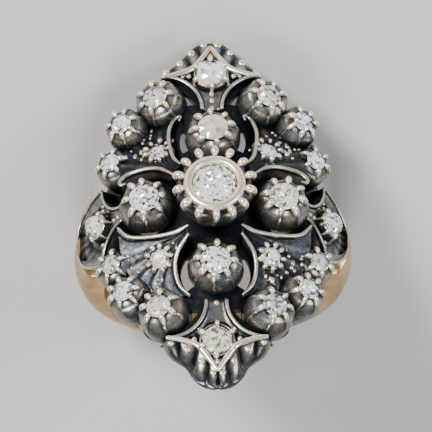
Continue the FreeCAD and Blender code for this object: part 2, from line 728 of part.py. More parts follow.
def make_shank(holes):
    """Gold hoop with the pierced backing soldered to it."""
    hoop = make_hoop()
    reach = size("backing_reach")
    corners = [(x, y) for x, y in lozenge(FLOOR_OUTLINE, BACKING_INSET)]
    shell = curved_plate(size("backing_inner"), size("backing_outer"), corners)
    shell = shell.common(Part.makeBox(2 * REACH, 2 * reach, REACH, Vector(-REACH, -reach, 0)))
    backs = []
    for _, kind, seat in settings():
        if kind != "side":
            back = facet_solid([(OPEN_BACK * size(f"{kind}_stone_radius"), 0),
                                (OPEN_BACK * size(f"{kind}_stone_radius"), -REACH / 2)], GRANULE_SIDES)
            back.Placement = seat.multiply(back.Placement)
            backs.append(back)
    backing = doc.addObject("Part::Feature", "backing")
    backing.Shape = shell.cut(holes + backs)
    gold = doc.addObject("Part::MultiFuse", "gold")
    gold.Shapes = [hoop, backing]
    wear = doc.addObject("Part::Feature", "wear")
    wear.Shape = Part.makeCompound(worn_flats())
    shank = doc.addObject("Part::Cut", "shank")
    shank.Label = "shank"
    shank.Base = gold
    shank.Tool = wear
    doc.recompute()
    return shank


def make_stones():
    rings = {}
    stones = []
    for name, kind, seat in settings():
        if kind not in rings:
            rings[kind] = stone_rings(kind)
        stones.append(make_stone(name, rings[kind], seat))
    doc.recompute()
    return stones


# Rest: the ring lies on its side, on the end of one tip and the edge of the hoop's back.

def lay_down(parts):
    """Turn every part the same way, and set the lowest point on the surface under the middle."""
    tilt = Rotation(Vector(1, 0, 0), size("rest_tilt"))
    turn = Placement(Vector(0, 0, 0), tilt.multiply(Rotation(Vector(0, 0, 1), size("rest_turn"))))
    points, _ = Part.makeCompound([part.Shape for part in parts]).tessellate(0.02)
    points = [turn.multVec(point) for point in points]
    low = [min(getattr(p, axis) for p in points) for axis in "xyz"]
    high = [max(getattr(p, axis) for p in points) for axis in "xyz"]
    drop = Vector(-(low[0] + high[0]) / 2, -(low[1] + high[1]) / 2, -low[2])
    rest = Placement(drop, turn.Rotation)
    for part in parts:
        part.Placement = rest.multiply(part.Placement)
    return rest


def check(parts):
    for thing in doc.Objects:
        assert "Invalid" not in thing.State and "Error" not in thing.State, thing.Name
    for part in parts:
        assert not part.Shape.isNull() and part.Shape.isValid(), part.Label
        assert len(part.Shape.Solids) == 1, part.Label


def write(parts):
    os.makedirs("parts", exist_ok=True)
    for part in parts:
        part.Shape.exportStep(f"parts/{part.Label}.step")


def main():
    holes = openings()
    parts = [make_shank(holes), make_head(holes)] + make_stones()
    doc.recompute()
    lay_down(parts)
    doc.recompute()
    check(parts)
    write(parts)
    for part in parts[:2]:
        print(part.Label, round(part.Shape.Volume, 1), len(part.Shape.Faces))


main()
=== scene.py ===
import json
import math
import random

import bpy
import bmesh
from mathutils import Matrix, Vector


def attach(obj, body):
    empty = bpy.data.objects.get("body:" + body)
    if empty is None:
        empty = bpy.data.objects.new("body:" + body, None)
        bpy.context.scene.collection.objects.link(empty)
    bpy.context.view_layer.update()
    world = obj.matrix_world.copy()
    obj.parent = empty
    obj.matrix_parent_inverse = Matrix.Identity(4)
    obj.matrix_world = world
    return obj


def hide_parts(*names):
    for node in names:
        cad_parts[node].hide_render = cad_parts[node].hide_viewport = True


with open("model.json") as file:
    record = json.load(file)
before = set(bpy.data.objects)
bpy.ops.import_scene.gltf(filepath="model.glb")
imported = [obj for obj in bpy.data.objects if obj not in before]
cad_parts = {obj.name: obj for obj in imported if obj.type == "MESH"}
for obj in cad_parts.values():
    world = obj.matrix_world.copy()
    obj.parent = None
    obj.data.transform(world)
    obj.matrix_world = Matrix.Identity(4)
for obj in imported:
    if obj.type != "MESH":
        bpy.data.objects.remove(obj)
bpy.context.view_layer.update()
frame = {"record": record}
random.seed(7)

# Sizes are in mm in the ring's own frame: X across the finger, Y along it, Z out of the head,
# with the origin on the finger's axis under the centre stone.
MM = 0.001
TABLE = 12.9  # table of the centre stone
FINGER = 8.3  # radius of the finger hollow
TIPS_INSIDE = FINGER + 0.1  # least distance of the tips from the finger's axis
SILVER_INSIDE = 8.85  # inside of the silver floor
CUPS_INSIDE = SILVER_INSIDE + 0.05  # least distance of the silver on it
UNDERSIDE = 0.06  # how bright unseen sides and the head's floor are: kept dark as painted shade

bore = frame["record"]["mounts"][0]
ALONG = Vector(bore["axis"]).normalized()
ACROSS = Vector((-1, 0, 0))
OUT = ACROSS.cross(ALONG).normalized()


def axes_at(x, y, z, place):
    """Frame of three directions at a place."""
    return Matrix.Translation(place) @ Matrix((x, y, z)).transposed().to_4x4()


def new_object(name, data):
    obj = bpy.data.objects.new(name, data)
    bpy.context.scene.collection.objects.link(obj)
    return obj


RING = axes_at(ACROSS, ALONG, OUT, bore["pos_m"]) @ Matrix.Scale(MM, 4)


# Meshes

class Shape:
    """Points in the ring's frame, their faces, and how far each point is rubbed bright, with
    painted highlight and painted shade mixed into that brightness.
    """

    def __init__(self):
        self.points = []
        self.faces = []
        self.wear = []

    def grid(self, rows, wear, place=Matrix.Identity(4), capped=True):
        """Closed rings joined into a skin. Each point's brightness, rubbed and painted with light
        and shade, is a number or a function of (row, column).
        """
        base = len(self.points)
        wide = len(rows[0])
        for i, row in enumerate(rows):
            for j, point in enumerate(row):
                self.points.append(place @ Vector(point))
                self.wear.append(wear(i, j) if callable(wear) else wear)
        faces = []
        for i in range(len(rows) - 1):
            for j in range(wide):
                a = base + i * wide + j
                b = base + i * wide + (j + 1) % wide
                faces.append((a, b, b + wide, a + wide))
        if capped:
            end = base + (len(rows) - 1) * wide
            faces += [range(base, base + wide)[::-1], range(end, end + wide)]
        self.add_faces(faces, place)

    def polygons(self, points, faces, wear, place=Matrix.Identity(4)):
        """Given points and faces, all rubbed alike."""
        base = len(self.points)
        for point in points:
            self.points.append(place @ Vector(point))
            self.wear.append(wear)
        self.add_faces([[base + i for i in face] for face in faces], place)

    def add_faces(self, faces, place):
        """Faces by the numbers of their points, turned over where the place mirrors them."""
        step = -1 if place.determinant() < 0 else 1
        self.faces += [tuple(face)[::step] for face in faces]

    def clear_bore(self, radius):
        """Keep every point of the upper half at least radius from the finger's axis."""
        for p in self.points:
            far = math.hypot(p.x, p.z)
            if p.z > 0 and far < radius:
                p.x *= radius / far
                p.z *= radius / far

    def build(self, name, material, slot, smooth=True):
        """Piece of the scene in metres, kept above the floor."""
        mesh = bpy.data.meshes.new(name)
        world = [RING @ p for p in self.points]
        for p in world:
            p.z = max(p.z, 0.0)
        mesh.from_pydata([tuple(p) for p in world], [], self.faces)
        mesh.validate()
        # Per-point brightness for the silver: rubbed metal mixed with painted highlight and
        # painted shade
        layer = mesh.attributes.new("wear", "FLOAT", "POINT")
        if len(layer.data) == len(self.wear):
            layer.data.foreach_set("value", self.wear)
        mesh.polygons.foreach_set("use_smooth", [smooth] * len(mesh.polygons))
        mesh.materials.append(material)
        obj = new_object(name, mesh)
        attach(obj, "root")
        return obj


def smooth_line(points, count):
    """Evenly counted points on a Catmull-Rom curve through the given ones."""
    points = [Vector(p) for p in points]
    ends = [points[0] * 2 - points[1]] + points + [points[-1] * 2 - points[-2]]
    result = []
    spans = len(points) - 1
    for k in range(count):
        at = spans * k / (count - 1)
        i = min(int(at), spans - 1)
        t = at - i
        a, b, c, d = ends[i:i + 4]
        result.append(0.5 * ((2 * b) + (c - a) * t + (2 * a - 5 * b + 4 * c - d) * t * t
                             + (3 * b - a - 3 * c + d) * t ** 3))
    return result


def flat_line(points, count):
    """The same through (x, y) points."""
    return smooth_line([(x, y, 0) for x, y in points], count)


def peak(value, middle, reach):
    """1 at the middle, falling to 0 at that reach on either side of it."""
    return max(0.0, 1 - abs(value - middle) / reach)


def sweep(shape, line, radii, sides, flat, wear, place, up=Vector((0, 0, 1))):
    """Wire along a line, with one radius for each point. flat is its thickness toward up."""
    rows = []
    for i, point in enumerate(line):
        ahead = line[min(i + 1, len(line) - 1)] - line[max(i - 1, 0)]
        ahead.normalize()
        side = ahead.cross(up)
        side.normalize()
        lift = side.cross(ahead)
        row = []
        for j in range(sides):
            turn = math.tau * j / sides
            row.append(point + side * (radii[i] * math.cos(turn))
                       + lift * (radii[i] * flat * math.sin(turn)))
        rows.append(row)
    shape.grid(rows, wear, place)


def slab(shape, rows, wear, offset, place):
    """Closed plate: the given skin and the same skin moved by offset(point)."""
    wide = len(rows[0])
    rings = [list(row) + [p + offset(p) for p in reversed(row)] for row in rows]
    shape.grid(rings, lambda i, j: wear(i, j) if j < wide else UNDERSIDE, place)


def turned(angle, radius, height):
    return Vector((radius * math.cos(angle), radius * math.sin(angle), height))


def lathe(shape, outline, steps, wear, place, cut=None, ring=False):
    """Skin turned round Z, closed on itself as a ring or else capped.

    cut(angle, share of the outline) gives how far a point is pulled in and down.
    """
    rows = []
    if ring:
        outline = outline + outline[:1]
    count = len(outline)
    for i, point in enumerate(outline):
        row = []
        for j in range(steps):
            angle = math.tau * j / steps
            shrink, dip = cut(angle, i / (count - 1)) if cut else (0.0, 0.0)
            row.append(turned(angle, point[0] - shrink, point[1] - dip))
        rows.append(row)
    shape.grid(rows, wear, place, capped=not ring)


def bead(shape, place, centre, radius, stretch, wear, steps):
    """Small ball, stretched along each axis."""
    rows = []
    for i in range(1, steps):
        up = math.pi * i / steps
        row = []
        for j in range(2 * steps):
            turn = math.pi * j / steps
            row.append((centre[0] + radius * stretch[0] * math.sin(up) * math.cos(turn),
                        centre[1] + radius * stretch[1] * math.sin(up) * math.sin(turn),
                        centre[2] + radius * stretch[2] * math.cos(up)))
        rows.append(row)
    shape.grid(rows, wear, place)


THINNEST = 0.02


def grain(shape, place, angle, path, radii, count, sides, flat, wear):
    """Grain of metal at one angle of a setting, along smoothed (radius, height) points."""
    line = smooth_line([turned(angle, r, z) for r, z in path], count)
    wide = [max(p.x, THINNEST) for p in smooth_line([(r, 0, 0) for r in radii], count)]
    tangent = Vector((-math.sin(angle), math.cos(angle), 0))
    sweep(shape, line, wide, sides, flat, wear, place, tangent)


# Places of the settings, the same as in the solids

# kind: radius of the stone, claws or grains round it
KINDS = {"centre": (1.72, 14), "large": (1.2, 8), "first": (0.98, 7), "second": (0.86, 7),
         "third": (0.8, 6), "leaf": (0.82, 9), "tip": (1.15, 6), "side": (0.98, 6)}
# Out from the middle, drop of the table below the centre's, lean
LONG = (5.76, 1.37, 0.05)
TIP = (11.57, 3.13, 0.07)
CROSS = (5.31, 1.99, 0.17)
SIDE = (9.01, 6.48, 1.47)
# x, y, drop of the table below the centre's, lean across, lean along
LEAF = (4.22, 4.67, 3.23, 0.34, 0.27)
# kind: x, y, drop of the table below the centre's, lean across
OUTER = {"first": (4.41, 9.08, 2.45, 0.33), "second": (7.02, 7.27, 3.39, 0.48),
         "third": (7.91, 4.43, 4.41, 0.52)}
QUADRANTS = ((1, 1, "top_right"), (-1, 1, "top_left"),
             (1, -1, "bottom_right"), (-1, -1, "bottom_left"))
CROWN_SHARE = 0.24  # height of a stone's crown as a share of its radius


def seat_at(x, y, drop, lean_x=0.0, lean_y=0.0, outward=Vector((0, 1, 0))):
    """Frame of a setting: origin in the table of its stone, Z out of the metal, Y outward."""
    normal = Vector((lean_x, lean_y, 1)).normalized()
    across = outward.cross(normal).normalized()
    ahead = normal.cross(across)
    return axes_at(across, ahead, normal, (x, y, TABLE - drop))


def leaf_seat(across, along):
    x, y, drop, lean_x, lean_y = LEAF
    return seat_at(across * x, along * y, drop, across * lean_x, along * lean_y)


def settings():
    """Name, kind and place of every stone."""
    yield "centre_stone", "centre", seat_at(0, 0, 0)
    for along, name in ((1, "top"), (-1, "bottom")):
        for stone, kind, (y, drop, lean) in (("long", "large", LONG), ("tip", "tip", TIP)):
            place = seat_at(0, along * y, drop, 0, along * lean, Vector((0, along, 0)))
            yield f"{stone}_stone_{name}", kind, place
    for across, name in ((-1, "left"), (1, "right")):
        for stone, kind, (x, drop, lean) in (("cross", "large", CROSS), ("side", "side", SIDE)):
            place = seat_at(across * x, 0, drop, across * lean, 0, Vector((across, 0, 0)))
            yield f"{stone}_stone_{name}", kind, place
    for across, along, name in QUADRANTS:
        yield f"leaf_stone_{name}", "leaf", leaf_seat(across, along)
        for number, kind in enumerate(("first", "second", "third"), start=1):
            x, y, drop, lean = OUTER[kind]
            place = seat_at(across * x, along * y, drop, across * lean)
            yield f"outer_stone_{name}_{number}", kind, place


# Collets

# kind: widest radius of the cup, size of its grains
COLLETS = {"large": (2.12, 1.1), "first": (1.92, 0.97), "second": (1.65, 0.9),
           "third": (1.52, 0.86)}
# Lip of a cup, outward from the stone's edge and up from its girdle
LIP = ((0.02, -0.5), (0.02, -0.02), (0.07, 0.05), (0.17, -0.02))
# Body below it in widest radii: radius of a large cup, what a smaller one adds, depth
BODY = ((0.89, 0.0, 0.19), (1.0, 0.0, 0.54), (0.98, 0.02, 0.88), (0.84, 0.15, 1.2),
        (0.64, 0.31, 1.55), (0.5, 0.35, 2.1))
CORE = 0.03  # radius of the flat ends that close a cup
INSIDE = 0.16  # share of a cup's outline that lies inside its lip
SCOOP = 0.145  # depth of the scoops in widest radii


def ridge(angle, count, sharp=0.8):
    """1 under each claw, falling to 0 in the middle of the scoop between two."""
    return 1 - abs(math.sin(count * angle / 2)) ** sharp


def collet(shape, kind, place, offset):
    """Cup, hollow under the stone, with cut-down scoops between the claws."""
    stone, count = KINDS[kind]
    belly = COLLETS[kind][0]
    rim = -CROWN_SHARE * stone
    fuller = 0.0 if kind == "large" else 1.0
    lip = [(stone + out, rim + up) for out, up in LIP]
    body = [((radius + more * fuller) * belly, rim - deep * belly) for radius, more, deep in BODY]
    skin = flat_line(lip + body, 44)
    outline = [(CORE, rim - 0.55)] + skin + [(CORE, skin[-1].y)]
    steps = 14 * count

    def cut(angle, share):
        if share < INSIDE:
            return 0.0, 0.0
        deep = peak(share, 0.38, 0.26) ** 0.8
        hollow = 1 - ridge(angle - offset, count)
        dip = 0.1 * hollow * peak(share, 0.3, 0.13)
        return SCOOP * belly * deep * hollow, dip

    # Brightness of the cup: ridges under the claws rubbed bright with painted highlight, a
    # painted line of shade beside each ridge, a painted sheen in the middle of each scoop that
    # differs from scoop to scoop, and painted shade lower down the cup
    def wear(i, j):
        share = i / (len(outline) - 1)
        if share < INSIDE:
            return 0.0
        angle = math.tau * j / steps - offset
        near = peak(share, 0.44, 0.26)
        across = 1 - ridge(angle, count, 1.0)
        spine = ridge(angle, count, 0.25) * near
        line = 0.24 * near * peak(across, 0.3, 0.2)
        tone = 0.32 + 0.14 * math.sin(5.3 * math.floor(angle * count / math.tau))
        facet = tone * near * max(0.0, across - 0.4)
        low = 0.16 * max(0.0, share - 0.6)
        return 0.26 + 0.6 * spine - line + facet - low

    lathe(shape, outline, steps, wear, place, cut)


def claws(shape, kind, place, offset):
    """Short fat grains drawn over the stone's edge, one at the top of each ridge."""
    stone, count = KINDS[kind]
    size = COLLETS[kind][1]
    rim = -CROWN_SHARE * stone
    for i in range(count):
        angle = math.tau * i / count + offset + random.uniform(-0.1, 0.1)
        fat = size * random.uniform(0.8, 1.15)
        long = random.uniform(0.85, 1.3)
        shine = random.uniform(0.75, 1.0)
        path = [(stone - 0.07 * size, rim + 0.08), (stone + 0.06, rim + 0.17 * size),
                (stone + 0.23, rim + 0.07), (stone + 0.39 * long, rim - 0.14),
                (stone + 0.5 * long, rim - 0.36), (stone + 0.58 * long, rim - 0.62)]
        radii = (0.12, 0.23 * fat, 0.25 * fat, 0.19 * fat, 0.1, 0.02)
        # Each claw is painted bright at its top and darker down toward its end: rubbed metal with
        # painted highlight and painted shade
        grain(shape, place, angle, path, radii, 16, 10, 0.92,
              lambda row, _, shine=shine: shine - 0.7 * max(0.0, row / 15 - 0.5) / 0.5)


# Radius and height of the centre's collar, of the cup below it and along one granule
COLLAR = ((1.70, -0.6), (1.72, -0.12), (1.77, 0.03), (1.96, 0.09), (2.17, 0.05), (2.3, -0.08),
          (2.33, -0.3), (2.34, -0.62))
CENTRE_CUP = ((2.2, -0.5), (2.45, -0.5), (2.76, -0.72), (2.9, -1.15), (2.84, -1.65),
              (2.62, -2.2), (2.3, -2.75), (2.05, -3.5))
GRANULE = ((2.4, -0.2), (2.52, -0.08), (2.76, -0.06), (2.99, -0.24), (3.05, -0.6), (2.98, -1.0))


def centre_cup(cups, bright):
    """Smooth collar, scooped cup and a ring of drop-shaped granules."""
    count = KINDS["centre"][1]
    place = seat_at(0, 0, 0)
    # The collar is painted bright over its top and sides, its inward face too, and darker low
    # down on both sides: painted highlight and painted shade
    lathe(bright, flat_line(COLLAR, 26), 96, lambda i, _: 1.0 if 1 < i < 22 else 0.3, place,
          ring=True)
    skin = flat_line(CENTRE_CUP, 30)
    wall = [Vector((CORE, -0.5, 0))] + skin + [Vector((CORE, skin[-1].y, 0))]
    half_turn = math.pi / count
    steps = 12 * count

    def cut(angle, share):
        hollow = 1 - ridge(angle + half_turn, count)
        return 0.2 * peak(share, 0.4, 0.4) ** 0.7 * hollow, 0.0

    # Ridges brighter than the scoops: rubbed bright, with painted highlight
    def wear(i, j):
        share = i / (len(wall) - 1)
        spine = ridge(math.tau * j / steps + half_turn, count, 0.5) * peak(share, 0.35, 0.35)
        return 0.24 + 0.5 * spine

    lathe(cups, wall, steps, wear, place, cut)
    for i in range(count):
        angle = math.tau * (i + 0.5) / count + random.uniform(-0.03, 0.03)
        fat = random.uniform(0.93, 1.08)
        radii = (0.12, 0.28 * fat, 0.33 * fat, 0.27 * fat, 0.11, 0.03)
        # Granules painted bright, darker toward their outer end: painted highlight and painted
        # shade
        grain(bright, place, angle, GRANULE, radii, 18, 12, 0.95,
              lambda row, _: 1.0 - 0.4 * max(0.0, row / 17 - 0.6) / 0.4)


# Leaves: two rims each, one round a collet along the finger and one round a collet across it.
# The first five points of each are also the sides of the leaf.

LEAF_RIMS = {
    1: (((2.5, 2.74), (3.02, 3.6), (3.3, 5.05), (3.3, 6.4), (2.9, 7.5), (2.45, 7.7),
         (2.5, 7.25)),
        ((3.0, 1.76), (4.0, 2.62), (5.04, 2.88), (6.3, 2.7), (7.0, 2.2), (7.0, 1.7),
         (6.6, 1.75))),
    -1: (((1.98, 3.27), (2.8, 4.45), (3.02, 5.65), (2.75, 6.95), (1.95, 7.9)),
         ((1.98, 2.65), (3.02, 3.0), (4.66, 3.05), (6.38, 2.77), (7.3, 1.9))),
}
LEAF_ROWS = 28
LEAF_COLUMNS = 44
LEAF_STREAKS = 34
RIM_POINTS = 44
# Height above the leaf and brightness of each row of its side walls, darker further down as
# painted shade
LEAF_WALL = ((0.08, 0.45), (-0.6, 0.22), (-1.4, 0.12), (-2.4, 0.05), (-3.4, 0.02))
# Rim and grains of the leaf's stone, outward from its edge and up from its table
LEAF_CUP = ((-0.02, -0.5), (0.03, -0.2), (0.14, -0.17), (0.26, -0.3), (0.4, -0.6))
LEAF_GRAIN = ((-0.09, 0.0), (0.05, 0.06), (0.19, 0.0), (0.32, -0.15), (0.45, -0.3))
CLOSE_BEADS = 8
OUTER_BEADS = 12


def on_leaf(point, lift):
    """The same place in the leaf's sloping plane, lifted straight up."""
    x, y, drop, lean_x, lean_y = LEAF
    height = TABLE - drop - lean_x * (point[0] - x) - lean_y * (point[1] - y)
    return Vector((point[0], point[1], height + lift))


def leaf(plates, rims, across, along):
    """Dished, streaked leaf with a wire along each rim and walls down to the floor."""
    flip = Matrix.Diagonal((across, along, 1, 1))
    long_rim, cross_rim = LEAF_RIMS[along]
    first = flat_line(long_rim[:5], LEAF_ROWS)
    second = flat_line(cross_rim[:5], LEAF_ROWS)
    rows = []
    for i, (a, b) in enumerate(zip(first, second)):
        share = i / (LEAF_ROWS - 1)
        row = []
        for j in range(LEAF_COLUMNS):
            u = j / (LEAF_COLUMNS - 1)
            point = a.lerp(b, u) + Vector((1, 1, 0)) * (1.35 * 4 * u * (1 - u) * share ** 1.4)
            edge = min(u, 1 - u)
            dish = 0.1 if edge < 0.02 else -0.08 - 0.1 * min(1.0, edge / 0.2)
            ripple = 0.03 * math.sin(LEAF_STREAKS * u + 5 * share) * min(1.0, edge * 5)
            row.append(on_leaf(point, dish + ripple))
        rows.append(row)

    # Ripple crests painted bright and the troughs dark, following the relief: rubbed crests with
    # painted highlight and painted shade
    def crest_wear_and_sheen(i, j):
        if j in (0, LEAF_COLUMNS - 1):
            return 0.5
        phase = LEAF_STREAKS * j / (LEAF_COLUMNS - 1) + 5 * i / (LEAF_ROWS - 1)
        return 0.09 + 0.12 * max(0.0, math.sin(phase)) ** 2

    middle = Vector((LEAF[0], LEAF[1], 0))

    def inward(p):
        return Vector((middle.x - p.x, middle.y - p.y, 0)).normalized() * 0.25

    slab(plates, rows, crest_wear_and_sheen, lambda _: Vector((0, 0, -0.5)), flip)
    for line in (first, second):
        wall = [[on_leaf(p, lift) for p in line] for lift, _ in LEAF_WALL]
        slab(plates, wall, lambda i, _: LEAF_WALL[i][1], inward, flip)
    # The inner wall is painted dark all over: painted shade
    inner = [first[0].lerp(second[0], u / 6) for u in range(7)]
    wall = [[on_leaf(p, lift) for p in inner] for lift in (0.05, -1.2, -2.6)]
    slab(plates, wall, lambda _i, _j: 0.05, inward, flip)
    last = RIM_POINTS - 1
    for outline in (long_rim, cross_rim):
        line = [on_leaf(p, 0.12) for p in flat_line(outline, RIM_POINTS)]
        radii = [0.16 * min(1.0, 0.55 + 3.0 * k / last, 0.5 + 2.5 * (last - k) / last)
                 for k in range(RIM_POINTS)]
        sweep(rims, line, radii, 10, 0.75, 0.48, flip)


def leaf_trim(shape, across, along):
    """Rim and grains round the leaf's stone, and loose beads near it and toward the points."""
    place = leaf_seat(across, along)
    stone, count = KINDS["leaf"]
    outline = flat_line([(stone + out, up) for out, up in LEAF_CUP], 12)
    lathe(shape, outline, 48, 0.3, place, ring=True)
    path = [(stone + out, up) for out, up in LEAF_GRAIN]
    for i in range(count):
        angle = math.tau * (i + random.uniform(-0.12, 0.12)) / count
        fat = random.uniform(0.8, 1.15)
        radii = (0.09, 0.19 * fat, 0.21 * fat, 0.14, 0.02)
        grain(shape, place, angle, path, radii, 12, 8, 1.0, random.uniform(0.6, 0.9))
    for k in range(CLOSE_BEADS + OUTER_BEADS):
        if k < CLOSE_BEADS:
            angle = random.uniform(0, math.tau)
            far = random.uniform(1.35, 1.8)
        else:
            angle = math.radians(random.uniform(-15, 105))
            far = random.uniform(1.6, 2.7)
        centre = (across * far * math.cos(angle), along * far * math.sin(angle), -0.2)
        radius = random.uniform(0.09, 0.19)
        stretch = (random.uniform(0.7, 1.3), random.uniform(0.8, 1.6), 0.8)
        bead(shape, place, centre, radius, stretch, random.uniform(0.3, 0.85), 6)


# Pointed plates at the tips and over the shoulders

# Neck and corner of the right side, and the radius of the hollow between them
NECK = (0.75, -3.3)
CORNER = (3.75, -0.2)
HOLLOW = 3.0
# Right half of each border, from the corner to the point, and of the foot of the wall under it
BORDERS = {
    "top": ((3.8, -0.15), (2.9, 0.0), (1.5, 0.55), (0.7, 1.5), (0.0, 2.6)),
    "bottom": ((3.8, -0.15), (2.9, 0.0), (1.5, 0.5), (0.7, 1.5), (0.0, 2.6)),
    "left": ((3.75, -0.2), (3.45, 1.1), (2.95, 2.3), (2.1, 3.3), (0.9, 3.75), (0.0, 3.82)),
    "right": ((3.75, -0.2), (3.3, 1.0), (2.65, 2.15), (1.7, 3.1), (0.8, 3.55), (0.0, 3.65)),
}
FEET = {
    "top": ((3.9, -0.2), (3.3, 0.65), (2.6, 1.3), (2.0, 2.0), (1.5, 2.65), (0.8, 3.15),
            (0.0, 3.25)),
    "bottom": ((4.1, -0.3), (3.55, 0.7), (2.75, 1.35), (2.2, 1.85), (1.75, 2.7), (1.1, 3.45),
               (0.4, 3.75), (0.0, 3.7)),
    "left": ((3.7, -0.3), (3.4, 1.0), (2.9, 2.2), (2.05, 3.15), (0.9, 3.6), (0.0, 3.66)),
    "right": ((3.7, -0.3), (3.25, 0.9), (2.6, 2.0), (1.65, 2.95), (0.8, 3.4), (0.0, 3.5)),
}
# Flutes a side, height of the wall and how far the flutes stand out
FLUTES = {"top": (4, 0.6, 0.12), "bottom": (4, 1.5, 0.34), "left": (5, 1.2, 0.1),
          "right": (5, 1.2, 0.1)}
# kind: table of the stone above the border, scale, dish, and thickness and brightness of the
# border, rubbed and painted with highlight
PLATES = {"tip": (0.35, 1.0, 0.34, 0.16, 0.95), "side": (0.6, 0.86, 0.22, 0.1, 0.6)}
# x, y and radius of the beads, and of two more that the bottom plate's neck doesn't have
PLATE_BEADS = ((1.7, -0.1, 0.24), (-1.7, -0.1, 0.24), (2.2, -0.1, 0.18), (-2.2, -0.1, 0.18),
               (0, 1.75, 0.26), (1.35, -1.0, 0.18), (-1.35, -1.0, 0.18), (0, -3.1, 0.24))
NECK_BEADS = ((0, -1.75, 0.22), (0, -2.4, 0.24))
SIDE_POINTS = 20
BORDER_POINTS = 29
PLATE_COLUMNS = 21


def hollow_side(count):
    """Concave side of a plate from the neck to the corner."""
    x0, y0 = NECK
    x1, y1 = CORNER
    middle = Vector(((x0 + x1) / 2, (y0 + y1) / 2, 0))
    chord = Vector((x1 - x0, y1 - y0, 0))
    inward = Vector((-chord.y, chord.x, 0)).normalized()
    rise = math.sqrt(HOLLOW ** 2 - (chord.length / 2) ** 2)
    centre = middle - inward * rise
    start = math.atan2(y0 - centre.y, x0 - centre.x)
    stop = math.atan2(y1 - centre.y, x1 - centre.x)
    if stop - start > math.pi:
        start += math.tau
    turns = [start + (stop - start) * k / (count - 1) for k in range(count)]
    return [Vector((centre.x + HOLLOW * math.cos(t), centre.y + HOLLOW * math.sin(t), 0))
            for t in turns]


def plate(plates, bright, place, kind, form):
    """Dished plate with a bright border, fluted wall, grains and beads on its neck."""
    rise, scale, deep, wire, shine = PLATES[kind]
    place = place @ Matrix.Translation((0, 0, -rise)) @ Matrix.Scale(scale, 4)
    side = hollow_side(SIDE_POINTS)
    border = flat_line(BORDERS[form], BORDER_POINTS)
    edge = side + border[1:-1] + [Vector((0.02, border[-1].y, 0))]
    shares = [2 * j / (PLATE_COLUMNS - 1) - 1 for j in range(PLATE_COLUMNS)]
    rows = []
    for point in edge:
        row = []
        for u in shares:
            dish = deep * min(1.0, (1 - abs(u)) / 0.4) * min(1.0, point.x / 2)
            row.append(Vector((u * point.x, point.y, 0.02 - dish)))
        rows.append(row)

    # Brightness of the plate's top: bright at the border, painted darker toward the middle of the
    # dish as painted shade, with painted stripes of light and shade across the side plates where
    # the plate itself is flat
    def bevel(i, j):
        inside = min(1.0, 2.2 * (1 - abs(shares[j]))) if j < PLATE_COLUMNS else 0.0
        ribs = 0.16 * math.sin(1.9 * j) if kind == "side" else 0.0
        return 0.5 - 0.24 * inside * min(1.0, edge[i].x / 1.6) + ribs * inside

    slab(plates, rows, bevel, lambda _: Vector((0, 0, -0.35)), place)
    for sign in (1, -1):
        line = [Vector((sign * p.x, p.y, 0)) for p in side]
        walls = [[p + Vector((0, 0, z)) for p in line] for z in (0.0, -0.7, -1.6, -2.6)]
        # Walls painted darker row by row downward: painted shade
        slab(plates, walls, lambda i, _: 0.4 - 0.1 * i,
             lambda _, sign=sign: Vector((-0.2 * sign, 0.15, 0)), place)
        raised = [p + Vector((0, 0, 0.03)) for p in line]
        sweep(bright, raised, [0.15] * SIDE_POINTS, 10, 0.8, 0.62, place)
        line = [Vector((sign * p.x, p.y - 0.08, 0.05)) for p in border]
        radii = [wire * (1 + 0.5 * math.sin(math.pi * k / (BORDER_POINTS - 1)))
                 for k in range(BORDER_POINTS)]
        sweep(bright, line, radii, 10, 0.7, shine, place)
    fluted_wall(bright, place, form)
    trim_plate(bright, place, rise / scale, kind, form)


def fluted_wall(shape, place, form):
    """Wall under the border, standing out to its foot in rounded flutes."""
    lobes, drop, swell = FLUTES[form]
    samples = 72
    levels = 14
    top = flat_line(BORDERS[form], samples + 1)
    foot = flat_line(FEET[form], samples + 1)

    def flute(k, sharp):
        return abs(math.sin(math.pi * lobes * k / samples)) ** sharp

    rows = []
    for level in range(levels + 1):
        t = level / levels
        half = []
        for k in range(samples + 1):
            bulge = flute(k, 0.6)
            bulge += (0.75 - bulge) * min(1.0, max(0.0, (t - 0.4) / 0.3))
            ahead = foot[min(k + 1, samples)] - foot[max(k - 1, 0)]
            out = Vector((ahead.y, -ahead.x, 0)).normalized()
            if k == samples:
                out = Vector((0, 1, 0))
            point = top[k].lerp(foot[k], math.sin(min(1.0, t * 1.2) * math.pi / 2))
            point += out * (swell * (bulge - 0.7) * math.sin(math.pi * min(1.0, 0.1 + t)))
            point.z = -0.1 - drop * t + 0.2 * bulge * (1 - t) * min(1.0, 4 * t)
            half.append(point)
        rows.append(half + [Vector((-p.x, p.y, p.z)) for p in reversed(half[:-1])])

    # Brightness of the flutes: a painted highlight down the middle of each flute near the top,
    # painted shade in the grooves between them, a middling tone lower down and a bright foot edge
    def wear(step, level):
        k = step if step <= samples else 2 * samples - step
        t = level / levels
        if t > 0.93:
            return 0.62
        shine = 0.8 * max(0.0, flute(k, 0.8) - 0.25) * max(0.0, 1 - (t / 0.6) ** 2)
        return shine + 0.27 * min(1.0, max(0.0, (t - 0.35) / 0.3))

    def under(p):
        return Vector((-0.45 * p.x, -0.45 * p.y - 0.4, -0.1))

    columns = [[row[j] for row in rows] for j in range(2 * samples + 1)]
    slab(shape, columns, wear, under, place)
    if form in ("top", "bottom"):
        down = 0.3 if form == "bottom" else 0.75
        for i in range(lobes):
            k = round(samples * (i + 0.5) / lobes)
            point = top[k].lerp(foot[k], down)
            for sign in (1, -1):
                bead(shape, place, (sign * point.x, point.y, -0.24),
                     0.27 * random.uniform(0.85, 1.15), (1.1, 1.1, 0.65), 1.0, 8)


